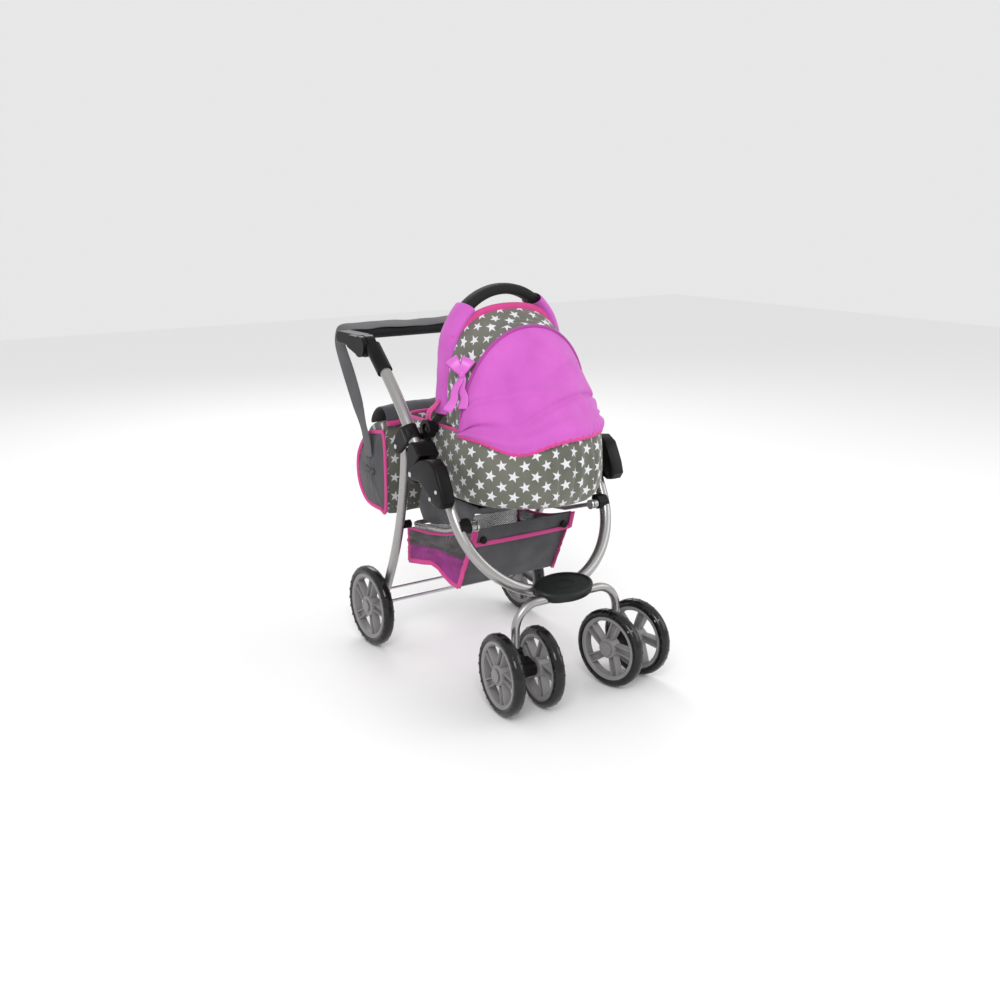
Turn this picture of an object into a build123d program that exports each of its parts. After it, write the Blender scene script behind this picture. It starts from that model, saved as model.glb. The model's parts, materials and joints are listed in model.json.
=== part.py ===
"""Doll stroller: folding tube frame, two twin-wheel casters, basket, bag, and a lift-off cot with a hood.

Millimetres. The stroller faces -Y, its own right side is -X, and Z = 0 is the ground.
"""
from build123d import *
import math
import os

# ---------------------------------------------------------------- driving dimensions
FRONT_WHEEL_R = 75.0
REAR_WHEEL_R = 82.5
TYRE_W = 22.0
RIM_SHARE = 0.81              # rim radius over tyre radius
SPOKES = 5
AXLE_R = 4.0
RUNNING = 0.05                # radial clearance of everything that turns on a shaft

CASTER_X = 116.0
CASTER_Y = -212.0
CASTER_TRAIL = 22.0
PAIR_HALF = 39.7              # half the distance between the two wheels of a caster
STEER = {"right": -6.4, "left": 10.45}

REAR_AXLE_Y = 201.0
REAR_TRACK = 187.0            # half the track
BRACE_YZ = (171.0, 122.0)

U_OD, U_WALL = 22.0, 1.4
U_RADIUS = 169.6
U_CENTRE_YZ = (-96.6, 337.0)
U_SLOPE = 61.1                # degrees from the ground
U_SPLAY = 2.35
U_ARM = 70.0
ARCH_OD, ARCH_WALL = 16.0, 1.2
ARCH_TOP_Z, ARCH_FOOT_Z, ARCH_BEND = 188.0, 110.0, 46.0

UPPER_X = 195.0
UPPER_YZ = [(-24, 433), (41, 518), (127, 602)]
LEG_OD, LEG_WALL = 18.0, 1.4
LEG_POINTS = [(-188, 42, 446), (-172, 106, 257), (-163, 201, 82.5)]

FOLD_YZ = (-9.0, 403.0)       # fold pivot
LEG_PIVOT_YZ = (42.0, 446.0)
HOOP_PIVOT_YZ = (-111.0, 316.0)
PLUG_YZ = (98.0, 275.0)
KNUCKLE_YZ = (166.0, 618.0)
CROSSBAR_YZ = (298.0, 626.0)
CROSSBAR_HALF = 195.0
HUB_YZ = (8.0, 479.0)

COT_HALF, COT_BACK_Y, COT_NOSE_Y = 140.0, 152.0, -72.0
COT_FLOOR_Z, COT_RIM_Z, COT_WALL = 350.0, 484.0, 6.0
BOW_TOP_YZ = (-92.0, 663.0)
HANDLE_TOP_YZ = (-2.0, 728.0)
HANDLE_HALF = 118.0

SHEET = 2.0                   # thickness of the soft solids' cloth
SOFT_GAP = 1.5


# ---------------------------------------------------------------- helpers
def save(name, shape):
    """Write one node; a list of solids becomes one group."""
    solids = shape if isinstance(shape, list) else [shape]
    flat = [solid for item in solids for solid in item.solids()]
    export_step(flat[0] if len(flat) == 1 else Compound(children=flat), f"parts/{name}.step")


def mirrored(shape):
    """The same piece on the other side."""
    return mirror(shape, about=Plane.YZ)


def save_pair(name, right):
    save(f"{name}_right", right)
    save(f"{name}_left", mirrored(right))


def tube(path, outer, wall):
    """A hollow round tube along a path."""
    start = Plane(origin=path @ 0, z_dir=path % 0)
    outside = sweep(start * Circle(outer / 2), path=path)
    return outside - sweep(start * Circle(outer / 2 - wall), path=path)


def rod(path, outer):
    """A solid round rod along a path."""
    return sweep(Plane(origin=path @ 0, z_dir=path % 0) * Circle(outer / 2), path=path)


def hull(*discs):
    """Outline around round corners, each given as (y, z, radius)."""
    rims = [edge for y, z, radius in discs for edge in (Pos(y, z) * Circle(radius)).edges()]
    return make_hull(rims)


def side_plate(outline, x_from, x_to):
    """A side-view outline in Y and Z made solid between two X positions."""
    return extrude(Plane.YZ.offset(x_from) * outline, amount=x_to - x_from)


def cross_pin(yz, radius, x_from, x_to):
    """A cylinder along X."""
    return side_plate(Pos(*yz) * Circle(radius), x_from, x_to)


def soften(shape, radius, smallest):
    """Round the longer edges, and leave the shape sharp where that fails."""
    try:
        return fillet([edge for edge in shape.edges() if edge.length > smallest], radius)
    except ValueError:
        return shape


# ---------------------------------------------------------------- wheels
def wheel_parts(radius):
    """Tyre, rim and hub cap, centred on the origin with the axle along X."""
    rim_r = RIM_SHARE * radius
    tread = Pos(0, (rim_r + radius) / 2) * RectangleRounded(TYRE_W, radius - rim_r, 5)
    tyre = revolve(tread, axis=Axis.X)

    ring_in = rim_r - 5.0
    hub_r, fork_r = 14.0, 0.52 * radius
    ring = side_plate(Circle(rim_r) - Circle(ring_in), -9, 9)
    hub = side_plate(Circle(hub_r), -12, 12)
    blades = []
    for number in range(SPOKES):
        stem = Pos(0, (hub_r + fork_r) / 2 - 1) * Rectangle(15, fork_r - hub_r + 4)
        arms = [Pos(0, fork_r - 5) * Rot(0, 0, side * 33) * Pos(0, (rim_r - fork_r) / 2 + 5)
                * Rectangle(6, rim_r - fork_r + 9) for side in (-1, 1)]
        spoke = (stem + arms[0] + arms[1]) & Circle(ring_in + 2)
        blades.append(side_plate(Rot(0, 0, 360 / SPOKES * number) * spoke, -5, 5))
    rim = ring + hub + blades
    rim -= side_plate(Circle(AXLE_R + RUNNING), -20, 20)
    cap = side_plate(Circle(12.5), 12, 15) - side_plate(Circle(AXLE_R + RUNNING), 0, 13.5)
    return tyre, rim, soften(cap, 1.0, 60)


def place_wheel(name, radius, location, outward):
    """Write one wheel; outward is +1 where the cap faces the wheel's +X side."""
    for part_name, part in zip(("tyre", "rim", "hub_cap"), wheel_parts(radius)):
        turned = part if outward > 0 else mirrored(part)
        save(f"{part_name}_{name}", location * turned)


def caster(side):
    """Swivel hub block with its stem, the short axle, and two wheels."""
    sign = -1 if side == "right" else 1
    place = Pos(sign * CASTER_X, CASTER_Y, 0) * Rot(0, 0, STEER[side])
    barrel = Pos(0, 0, 86) * Cylinder(13, 46)
    stem = Pos(0, 0, ARCH_FOOT_Z + 8) * Cylinder(6.2, 20)
    boss = side_plate(hull((-CASTER_TRAIL, FRONT_WHEEL_R, 14), (-4, 78, 13)), -26, 26)
    neck = side_plate(hull((-CASTER_TRAIL, FRONT_WHEEL_R, 12), (0, 98, 10)), -11, 11)
    block = soften(boss, 3, 30) + barrel + neck + stem
    block -= cross_pin((-CASTER_TRAIL, FRONT_WHEEL_R), AXLE_R, -40, 40)
    save(f"caster_hub_{side}", place * block)
    save(f"caster_axle_{side}", place * cross_pin((-CASTER_TRAIL, FRONT_WHEEL_R), AXLE_R, -53, 53))
    for where, local_x in (("outer", sign * PAIR_HALF), ("inner", -sign * PAIR_HALF)):
        spot = place * Pos(local_x, -CASTER_TRAIL, FRONT_WHEEL_R)
        place_wheel(f"front_{side}_{where}", FRONT_WHEEL_R, spot, 1 if local_x > 0 else -1)


# ---------------------------------------------------------------- front frame
def u_plane():
    """The sloping plane of the U tube, centred on its half circle."""
    slope = math.radians(U_SLOPE)
    return Plane(origin=(0, *U_CENTRE_YZ), x_dir=(1, 0, 0), z_dir=(0, -math.sin(slope), math.cos(slope)))


def u_path():
    splay = math.radians(U_SPLAY)
    foot = (U_RADIUS * math.cos(splay), -U_RADIUS * math.sin(splay))
    top = (foot[0] + U_ARM * math.sin(splay), foot[1] + U_ARM * math.cos(splay))
    bend = ThreePointArc((-foot[0], foot[1]), (0, -U_RADIUS), foot)
    arms = [Line((-top[0], top[1]), (-foot[0], foot[1])), Line(foot, top)]
    return u_plane() * Wire([arms[0], bend, arms[1]])


def arch_path():
    span = CASTER_X
    rise = ARCH_TOP_Z - ARCH_FOOT_Z
    line = FilletPolyline((-span, 0), (-span, rise), (span, rise), (span, 0), radius=ARCH_BEND)
    return Plane(origin=(0, CASTER_Y, ARCH_FOOT_Z), x_dir=(1, 0, 0), z_dir=(0, -1, 0)) * line


def foot_plate(u_solid, arch_solid):
    """Oval clamp plate with a domed rim and a raised oval ring on its top."""
    tilt = Pos(0, -198, 193) * Rot(18, 0, 0)
    body = extrude(Ellipse(63, 37), amount=15)
    body = fillet(body.edges().group_by(Axis.Z)[-1], 6)
    body -= Pos(0, 0, 13.4) * extrude(Ellipse(54, 29), amount=4)
    body += Pos(0, 0, 12.6) * extrude(Ellipse(22, 12.5) - Ellipse(20.5, 11), amount=1.4)
    body += Pos(0, 0, -9) * extrude(Ellipse(52, 26), amount=10)
    return tilt * body - u_solid - arch_solid


def fold_seam(gap):
    """Side-view half plane above the hinge seam, radial from the fold pivot."""
    lean = math.degrees(math.atan2(35, -29))
    return Pos(*FOLD_YZ) * Rot(0, 0, lean) * Pos(0, -200 - gap) * Rectangle(800, 400)


def hinge_right(u_solid):
    """Lower shell and upper cap of the fold hinge on the right side."""
    whole_low = hull((-82, 365, 14.5), (-60, 402, 15), (-44, 424, 15), (-54, 352, 11), (*FOLD_YZ, 18))
    whole_up = hull((-38, 424, 15), (-14, 448, 15.5), (*FOLD_YZ, 18))
    above = fold_seam(0)
    above_gap = fold_seam(-0.4)
    shell = whole_low - above_gap - Pos(*FOLD_YZ) * Circle(18.4)
    cap = (whole_up & above) + Pos(*FOLD_YZ) * Circle(18)
    shell_solid = soften(side_plate(shell, -207, -158), 4, 25)
    shell_solid += side_plate(hull((*FOLD_YZ, 16), (-40, 385, 10)), -163, -158)
    cap_solid = soften(side_plate(cap, -208, -163.4), 4, 25)
    pin_hole = cross_pin(FOLD_YZ, 3 + RUNNING, -230, -150)
    return shell_solid - u_solid - pin_hole, cap_solid - cross_pin(FOLD_YZ, 3, -230, -150)


def front_frame():
    u_outer = rod(u_path(), U_OD)
    arch_outer = rod(arch_path(), ARCH_OD)
    save("u_tube", tube(u_path(), U_OD, U_WALL))
    save("front_arch_tube", tube(arch_path(), ARCH_OD, ARCH_WALL))
    save("oval_foot_plate", foot_plate(u_outer, arch_outer))
    shell, cap = hinge_right(u_outer)
    save_pair("hinge_shell", shell)
    block = side_plate(hull((*HOOP_PIVOT_YZ, 11), (-106, 322, 11)), -170, -147.5) - u_outer
    block -= cross_pin(HOOP_PIVOT_YZ, 3, -180, -140)
    block = max(block.solids(), key=lambda solid: solid.volume)
    save("front_brackets", [block, mirrored(block)])
    bolt = cross_pin(HOOP_PIVOT_YZ, 3, -156, -130) + cross_pin(HOOP_PIVOT_YZ, 9.5, -134, -130.5)
    save("bracket_bolts", [bolt, mirrored(bolt)])
    sling = side_plate(hull((-82, 336, 7), (-25, 313, 9), (60, 312, 9), (100, 336, 7)), -122, 122)
    save("seat_sling", sling)
    return cap


# ---------------------------------------------------------------- upper frame
def upper_path():
    return ThreePointArc(*[(-UPPER_X, y, z) for y, z in UPPER_YZ])


def upper_frame(cap):
    path = upper_path()
    outer = rod(path, U_OD)
    save_pair("upper_tube", tube(path, U_OD, U_WALL))
    save_pair("hinge_cap", cap - outer)
    pivot = cross_pin(FOLD_YZ, 3, -209, -156) + cross_pin(FOLD_YZ, 5, -210, -208)
    save("fold_pivots", [pivot, mirrored(pivot)])
    save("leg_clamps", [leg_clamp(outer), mirrored(leg_clamp(outer))])
    bolt = cross_pin(LEG_PIVOT_YZ, 3, -209, -177) + cross_pin(LEG_PIVOT_YZ, 4.5, -210, -208)
    save("leg_pivots", [bolt, mirrored(bolt)])
    save("handle_sockets", [handle_socket(outer), mirrored(handle_socket(outer))])


def leg_clamp(tube_solid):
    """Collar on the upper tube, an ear for the rear leg, and a saddle for the cot's hub."""
    collar_at = Plane(origin=(-UPPER_X, 8, 474), z_dir=(0, 0.66, 0.75))
    collar = collar_at * Pos(0, 0, -14) * extrude(Circle(15), amount=28)
    ear = side_plate(hull((6, 474, 14), (24, 473, 13), (*LEG_PIVOT_YZ, 14)), -208, -198.2)
    ear = soften(ear, 3, 25)
    ring = Pos(*HUB_YZ) * (Circle(23.5) - Circle(18.5))
    quarter = Pos(*HUB_YZ) * Pos(20, -20) * Rectangle(40, 40)
    saddle = side_plate(ring & quarter, -164, -152)
    arm = side_plate(Pos(25, 463) * Circle(6) - Pos(*HUB_YZ) * Circle(18.5), -200, -152)
    whole = collar + ear + saddle + arm - tube_solid
    whole -= cross_pin(LEG_PIVOT_YZ, 3, -220, -170)
    return whole


def handle_socket(tube_solid):
    """Sleeve over the tube's end that widens into the inner disc of the handle knuckle."""
    base = Plane(origin=(-UPPER_X, 100, 577), z_dir=(0, 0.735, 0.678))
    sleeve = base * extrude(Circle(15), amount=62)
    disc = cross_pin(KNUCKLE_YZ, 21, -204, -186)
    whole = sleeve - cross_pin(KNUCKLE_YZ, 21, -240, -204) - cross_pin(KNUCKLE_YZ, 21, -186, -150)
    return whole + disc - tube_solid - cross_pin(KNUCKLE_YZ, 4 + RUNNING, -240, -150)


# ---------------------------------------------------------------- handle
def handle():
    half = CROSSBAR_HALF - 9
    y_near, y_far, z = KNUCKLE_YZ[0] + 22, CROSSBAR_YZ[0], CROSSBAR_YZ[1]
    path = FilletPolyline((-half, y_near, z), (-half, y_far, z), (half, y_far, z), (half, y_near, z),
                          radius=16)
    bar = tube(path, 16, 1.4)
    grip_path = Line((-half + 17, y_far, z), (half - 17, y_far, z))
    save("handle_bar", bar)
    save("handle_grip", tube(grip_path, 24, 4))
    outer = rod(path, 16)
    disc = cross_pin(KNUCKLE_YZ, 20, -215, -204.4) + cross_pin(KNUCKLE_YZ, 4, -204.4, -184)
    arm = side_plate(hull((192, 624, 14), (268, z, 12)), -206, -176)
    web = side_plate(hull((*KNUCKLE_YZ, 18), (205, 624, 13)), -215, -204.4)
    knuckle = disc + web + soften(arm, 4, 20) - outer
    knuckle -= cross_pin(KNUCKLE_YZ, 21.6, -204, -150) - cross_pin(KNUCKLE_YZ, 4, -230, -150)
    save("handle_knuckles", [knuckle, mirrored(knuckle)])


# ---------------------------------------------------------------- rear legs and rear wheels
def rear_legs():
    path = ThreePointArc(*LEG_POINTS)
    leg = tube(path, LEG_OD, LEG_WALL)
    leg -= cross_pin(LEG_PIVOT_YZ, 3 + RUNNING, -230, -150)
    leg -= cross_pin((REAR_AXLE_Y, REAR_WHEEL_R), AXLE_R, -230, -130)
    leg -= cross_pin(BRACE_YZ, 3, -230, -130)
    save_pair("rear_leg", leg)
    save("rear_axle", cross_pin((REAR_AXLE_Y, REAR_WHEEL_R), AXLE_R, -200, 200))
    save("brace_rod", cross_pin(BRACE_YZ, 3, -172, 172))
    plug = cross_pin(PLUG_YZ, 8, -178, -150) - rod(path, LEG_OD)
    plug = max(plug.solids(), key=lambda solid: solid.center().X)
    save("leg_plugs", [plug, mirrored(plug)])
    for side, sign in (("right", -1), ("left", 1)):
        spot = Pos(sign * REAR_TRACK, REAR_AXLE_Y, REAR_WHEEL_R)
        place_wheel(f"rear_{side}", REAR_WHEEL_R, spot, sign)


# ---------------------------------------------------------------- basket
def basket():
    reach = 141.0
    eye_y, eye_z = HOOP_PIVOT_YZ
    back_y, back_z = 104.0, 272.0
    path = FilletPolyline((-reach, eye_y + 8, eye_z - 2), (-reach, -20, 287), (-reach, back_y, back_z),
                          (reach, back_y, back_z), (reach, -20, 287), (reach, eye_y + 8, eye_z - 2),
                          radius=18)
    hoop = tube(path, 9, 1.2)
    for sign in (-1, 1):
        low, high = sorted((sign * (reach - 4.5), sign * (reach + 4.5)))
        hoop += cross_pin(HOOP_PIVOT_YZ, 9, low, high)
    hoop -= cross_pin(HOOP_PIVOT_YZ, 3 + RUNNING, -160, 160)
    save("basket_hoop", hoop)

    outside = Polyline((-84, 297), (-30, 176), (14, 184), (48, 204), (94, 196), (98, 262), (96, 262),
                       (-20, 278), (-70, 294), close=True)
    outside = make_face(outside)
    inside = offset(outside, -SHEET) + Pos(18, 293) * Rectangle(150, 74)
    half = 124.0
    shell = side_plate(outside, -half, half) - side_plate(inside, -half + SHEET, half - SHEET)
    save("basket_shell", shell)
    snap = Pos(0, -73.4, 271) * Rot(66 + 180, 0, 0) * Cylinder(7, 4)
    snaps = [Pos(x, 0, 0) * snap - side_plate(outside, -half, half) for x in (-91, 91)]
    save("basket_snaps", snaps)


# ---------------------------------------------------------------- bag
def bag():
    outline = hull((200, 287, 10), (253, 304, 27), (268, 350, 26), (254, 420, 22), (202, 452, 12))
    save("bag_body", soften(side_plate(outline, -152, 152), 6, 60))
    bar_y, bar_z = CROSSBAR_YZ
    top = Pos(0, bar_y, bar_z + 13.6) * Box(346, 16, SHEET)
    drop = side_plate(Pos(bar_y + 13.6, bar_z - 2) * Rectangle(SHEET, 33.2), -173, -157)
    foot_yz, bend_yz = (262, 450), (bar_y + 13.6, bar_z - 18)
    run = Plane.YZ.offset(-173) * make_face(Polyline(
        (foot_yz[0] - 1, foot_yz[1]), (bend_yz[0] - 1, bend_yz[1]), (bend_yz[0] + 1, bend_yz[1]),
        (foot_yz[0] + 1, foot_yz[1]), close=True))
    down = extrude(run, amount=16)
    tab = side_plate(Pos(foot_yz[0] - 3, foot_yz[1] - 30) * Rectangle(SHEET + 6, 62), -173, -152)
    strap_side = drop + down + tab
    save("bag_strap", top + strap_side + mirrored(strap_side))


# ---------------------------------------------------------------- cot
def cot_outline(inset):
    half = COT_HALF - inset
    back = COT_BACK_Y - inset
    nose = Pos(0, COT_NOSE_Y) * Circle(half)
    rear = Pos(0, (back + COT_NOSE_Y) / 2) * RectangleRounded(2 * half, back - COT_NOSE_Y, 45 - inset)
    return nose + rear + Pos(0, COT_NOSE_Y + 25) * Rectangle(2 * half, 70)


def cot():
    height = COT_RIM_Z - COT_FLOOR_Z
    shell = Pos(0, 0, COT_FLOOR_Z) * extrude(cot_outline(0), amount=height)
    hollow = Pos(0, 0, COT_FLOOR_Z + COT_WALL) * extrude(cot_outline(COT_WALL), amount=height)
    pad = Pos(0, 0, COT_FLOOR_Z + COT_WALL) * extrude(cot_outline(COT_WALL + SOFT_GAP), amount=16)
    ear = side_plate(hull((*HUB_YZ, 14), (-8, 455, 8), (24, 455, 8)), -COT_HALF, -COT_HALF + 3)
    save("cot_shell", shell - hollow + ear + mirrored(ear))
    save("mattress", pad)
    hub = cross_pin(HUB_YZ, 18, -165, -152.2) + cross_pin(HUB_YZ, 8, -152.2, -COT_HALF)
    hub -= cross_pin(HUB_YZ, 11, -165, -161)
    hub += cross_pin(HUB_YZ, 4, -163, -161)
    save("cot_hubs", [hub, mirrored(hub)])


# ---------------------------------------------------------------- hood and carry handle
def arch_line(half, top_yz, foot_x, share):
    """Half-oval from the hub axis up to a top point, leaning with the line from the axis to the top."""
    rise = math.dist(HUB_YZ, top_yz)
    lean = Plane(origin=(0, *HUB_YZ), x_dir=(1, 0, 0),
                 z_dir=(0, -(top_yz[1] - HUB_YZ[1]) / rise, (top_yz[0] - HUB_YZ[0]) / rise))
    steps = 10
    crown = [(half * math.cos(math.pi * i / steps), rise * share + rise * (1 - share) * math.sin(math.pi * i / steps))
             for i in range(steps + 1)]
    return lean * Spline([(foot_x, 14), *crown, (-foot_x, 14)])


def hood_strip(angle, half, rise, low, foot):
    """Arch-shaped strip of cloth in the plane that leans at an angle about the hub axis, as a closed face."""
    turn = math.radians(angle)
    lean = Plane(origin=(0, *HUB_YZ), x_dir=(1, 0, 0), z_dir=(0, -math.sin(turn), -math.cos(turn)))
    thin_half, thin_crown = half - SHEET, rise - low - SHEET
    outer = EllipticalCenterArc((0, low), half, rise - low, start_angle=0, arc_size=180)
    inner = EllipticalCenterArc((0, low), thin_half, thin_crown, start_angle=0, arc_size=180)
    sides = [Line((-half, low), (-half, foot)), Line((-half, foot), (-thin_half, foot)),
             Line((-thin_half, foot), (-thin_half, low)), Line((thin_half, low), (thin_half, foot)),
             Line((thin_half, foot), (half, foot)), Line((half, foot), (half, low))]
    return lean * make_face([outer, inner, *sides])


def hood():
    bow_path = arch_line(128, BOW_TOP_YZ, 143.5, 0.30)
    bow = rod(bow_path, 5)
    eye = cross_pin(HUB_YZ, 13, -146, -141)
    save("hood_bow", bow + eye + mirrored(eye) - cross_pin(HUB_YZ, 8 + RUNNING, -170, 170))

    handle_path = arch_line(HANDLE_HALF, HANDLE_TOP_YZ, 148.5, 0.52)
    handle_bow = rod(handle_path, 17)
    handle_bow &= Pos(0, 0, 626) * Box(400, 400, 236)
    strap = side_plate(hull((*HUB_YZ, 15), (4, 520, 9)), -151.5, -146.6)
    spine = rod(handle_path, 5) + strap + mirrored(strap)
    whole = handle_bow + spine - cross_pin(HUB_YZ, 8 + RUNNING, -170, 170)
    save("carry_handle", whole)

    sleeve = rod(handle_path, 23) - rod(handle_path, 17.4)
    sleeve &= Pos(0, 0, 610) * Box(400, 400, 176)
    save("handle_sleeves", list(sleeve.solids()))
    canopy = loft([hood_strip(67, 131, 218, 95, 85), hood_strip(78, 126, 228, 128, 100)])
    save("hood_canopy", canopy)
    drape = loft([hood_strip(56, 133, 216, 95, 78), hood_strip(28, 141, 226, 88, 46),
                  hood_strip(-2, 143.5, 224, 80, 22)])
    save("hood_drape", drape)


os.makedirs("parts", exist_ok=True)
for caster_side in STEER:
    caster(caster_side)
upper_frame(front_frame())
handle()
rear_legs()
basket()
bag()
cot()
hood()
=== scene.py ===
import bpy
import bmesh
import json
import math
from mathutils import Vector, Matrix, noise


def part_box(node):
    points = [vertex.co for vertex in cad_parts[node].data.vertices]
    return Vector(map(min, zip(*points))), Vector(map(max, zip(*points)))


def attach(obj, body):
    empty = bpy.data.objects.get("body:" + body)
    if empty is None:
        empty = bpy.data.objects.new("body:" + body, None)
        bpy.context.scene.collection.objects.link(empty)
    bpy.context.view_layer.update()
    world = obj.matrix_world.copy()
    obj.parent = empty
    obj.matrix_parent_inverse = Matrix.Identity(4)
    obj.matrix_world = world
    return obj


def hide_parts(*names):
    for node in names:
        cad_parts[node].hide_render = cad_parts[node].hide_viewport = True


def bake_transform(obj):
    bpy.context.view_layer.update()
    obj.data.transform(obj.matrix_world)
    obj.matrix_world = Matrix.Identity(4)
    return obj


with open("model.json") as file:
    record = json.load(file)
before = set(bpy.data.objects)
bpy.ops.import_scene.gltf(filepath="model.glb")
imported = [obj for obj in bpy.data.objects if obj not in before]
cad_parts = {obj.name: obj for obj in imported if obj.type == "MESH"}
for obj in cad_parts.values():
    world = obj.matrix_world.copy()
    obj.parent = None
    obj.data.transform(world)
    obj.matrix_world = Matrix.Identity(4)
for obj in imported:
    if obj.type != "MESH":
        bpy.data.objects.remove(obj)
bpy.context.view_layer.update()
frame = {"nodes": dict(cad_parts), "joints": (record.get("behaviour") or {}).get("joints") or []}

# ---- places, from the frame
cot_low, cot_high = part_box("cot_shell")
COT_HALF = cot_high[0]
COT_BACK = cot_high[1]
COT_NOSE = cot_low[1] + COT_HALF          # centre of the round nose
COT_FLOOR = cot_low[2]
HUB_Y, HUB_Z = (sum(corner[axis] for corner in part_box("cot_hubs")) / 2 for axis in (1, 2))
BOW_FOOT = Vector((0.139, -0.0728, 0.4845))    # hood's front bow
BOW_TOP = Vector((0, -0.092, 0.6655))
HANDLE_TOP = 0.249                         # carry handle above the hubs
bag_low, bag_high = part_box("bag_body")
BAG_MIDDLE = Vector((0.24, 0.365))         # seen from the side: Y and Z
CLOTH_THICK = 0.0014                       # canopy, drape and sleeves
LEFT_AND_RIGHT = (("left", 1), ("right", -1))


def smoothstep(low, high, value):
    """From 0 at low to 1 at high, with soft ends; low may be the larger."""
    share = min(max((value - low) / (high - low), 0.0), 1.0)
    return share * share * (3 - 2 * share)


def curve_through(before, start, end, after, share):
    """Point between start and end on a smooth curve through all four."""
    return 0.5 * ((2 * start) + (end - before) * share
                  + (2 * before - 5 * start + 4 * end - after) * share * share
                  + (3 * start - before - 3 * end + after) * share ** 3)


def along_line(corners, share):
    """Point at a share, from 0 to 1, of a bent line whose sides all count the same."""
    place = share * (len(corners) - 1)
    number = min(int(place), len(corners) - 2)
    return Vector(corners[number]).lerp(Vector(corners[number + 1]), place - number)


def ripple(x, y, z, scale, seed=0.0):
    """Soft unevenness of cloth, from -1 to 1."""
    return noise.noise(Vector((x * scale + seed, y * scale, z * scale)))


# ---- materials
def material(name, colour, roughness=0.6, metallic=0.0, sheen=0.0, coat=0.0, specular=0.5):
    """A plain finish, given back with its node tree and its shader."""
    made = bpy.data.materials.new(name)
    made.use_nodes = True
    shader = made.node_tree.nodes["Principled BSDF"]
    shader.inputs["Base Color"].default_value = (*colour, 1)
    shader.inputs["Roughness"].default_value = roughness
    shader.inputs["Metallic"].default_value = metallic
    shader.inputs["Sheen Weight"].default_value = sheen
    shader.inputs["Coat Weight"].default_value = coat
    shader.inputs["Specular IOR Level"].default_value = specular
    return made, made.node_tree, shader


def maths(tree, operation, first, second=None, third=None):
    """One arithmetic step; each operand is a socket or a number."""
    node = tree.nodes.new("ShaderNodeMath")
    node.operation = operation
    for slot_number, operand in enumerate((first, second, third)):
        if operand is None:
            continue
        if isinstance(operand, (int, float)):
            node.inputs[slot_number].default_value = operand
        else:
            tree.links.new(operand, node.inputs[slot_number])
    return node.outputs[0]


def mix_colour(tree, share, first, second):
    node = tree.nodes.new("ShaderNodeMix")
    node.data_type = "RGBA"
    tree.links.new(share, node.inputs["Factor"])
    for name, value in (("A", first), ("B", second)):
        socket = [s for s in node.inputs if s.name == name and s.type == "RGBA"][0]
        if isinstance(value, tuple):
            socket.default_value = (*value, 1)
        else:
            tree.links.new(value, socket)
    return [s for s in node.outputs if s.type == "RGBA"][0]


def noise_of(tree, vector, scale, detail=3.0, roughness=0.5):
    node = tree.nodes.new("ShaderNodeTexNoise")
    node.inputs["Scale"].default_value = scale
    node.inputs["Detail"].default_value = detail
    node.inputs["Roughness"].default_value = roughness
    tree.links.new(vector, node.inputs["Vector"])
    return node.outputs["Fac"]


def spread(tree, value, low, high, to_low, to_high):
    node = tree.nodes.new("ShaderNodeMapRange")
    tree.links.new(value, node.inputs[0])
    for number, setting in enumerate((low, high, to_low, to_high)):
        node.inputs[number + 1].default_value = setting
    return node.outputs[0]


def vary_colour(tree, shader, value, low, high, first, second):
    """Base colour that goes from first to second as value goes from low to high."""
    tree.links.new(mix_colour(tree, spread(tree, value, low, high, 0, 1), first, second), shader.inputs["Base Color"])


def vary_roughness(tree, shader, value, low, high, smooth, rough):
    tree.links.new(spread(tree, value, low, high, smooth, rough), shader.inputs["Roughness"])


def bump(tree, shader, height, strength, distance):
    node = tree.nodes.new("ShaderNodeBump")
    node.inputs["Strength"].default_value = strength
    node.inputs["Distance"].default_value = distance
    tree.links.new(height, node.inputs["Height"])
    tree.links.new(node.outputs[0], shader.inputs["Normal"])


def object_place(tree):
    return tree.nodes.new("ShaderNodeTexCoord").outputs["Object"]


def cloth_place(tree):
    return tree.nodes.new("ShaderNodeTexCoord").outputs["UV"]


def weave_height(tree, place, pitch):
    """Plain weave: threads over and under along the cloth's own two directions."""
    split = tree.nodes.new("ShaderNodeSeparateXYZ")
    tree.links.new(place, split.inputs[0])
    waves = []
    for axis in (0, 1):
        turned = maths(tree, "MULTIPLY", split.outputs[axis], 2 * math.pi / pitch)
        waves.append(maths(tree, "SINE", turned))
    return maths(tree, "MULTIPLY", waves[0], waves[1])


def painted_steel():
    """Silver paint with fine flakes."""
    made, tree, shader = material("silver_paint", (0.4, 0.39, 0.385), 0.34, 0.9, coat=0.2)
    place = object_place(tree)
    flake = noise_of(tree, place, 5000, 2)
    cloud = noise_of(tree, place, 22, 3)
    vary_colour(tree, shader, flake, 0.35, 0.65, (0.36, 0.352, 0.348), (0.43, 0.42, 0.415))
    vary_roughness(tree, shader, cloud, 0.3, 0.7, 0.24, 0.36)
    return made


def zinc_steel():
    made, tree, shader = material("zinc_steel", (0.62, 0.62, 0.64), 0.28, 1.0)
    grain = noise_of(tree, object_place(tree), 900, 4)
    vary_roughness(tree, shader, grain, 0.3, 0.7, 0.2, 0.38)
    bump(tree, shader, grain, 0.05, 0.0003)
    return made


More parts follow.
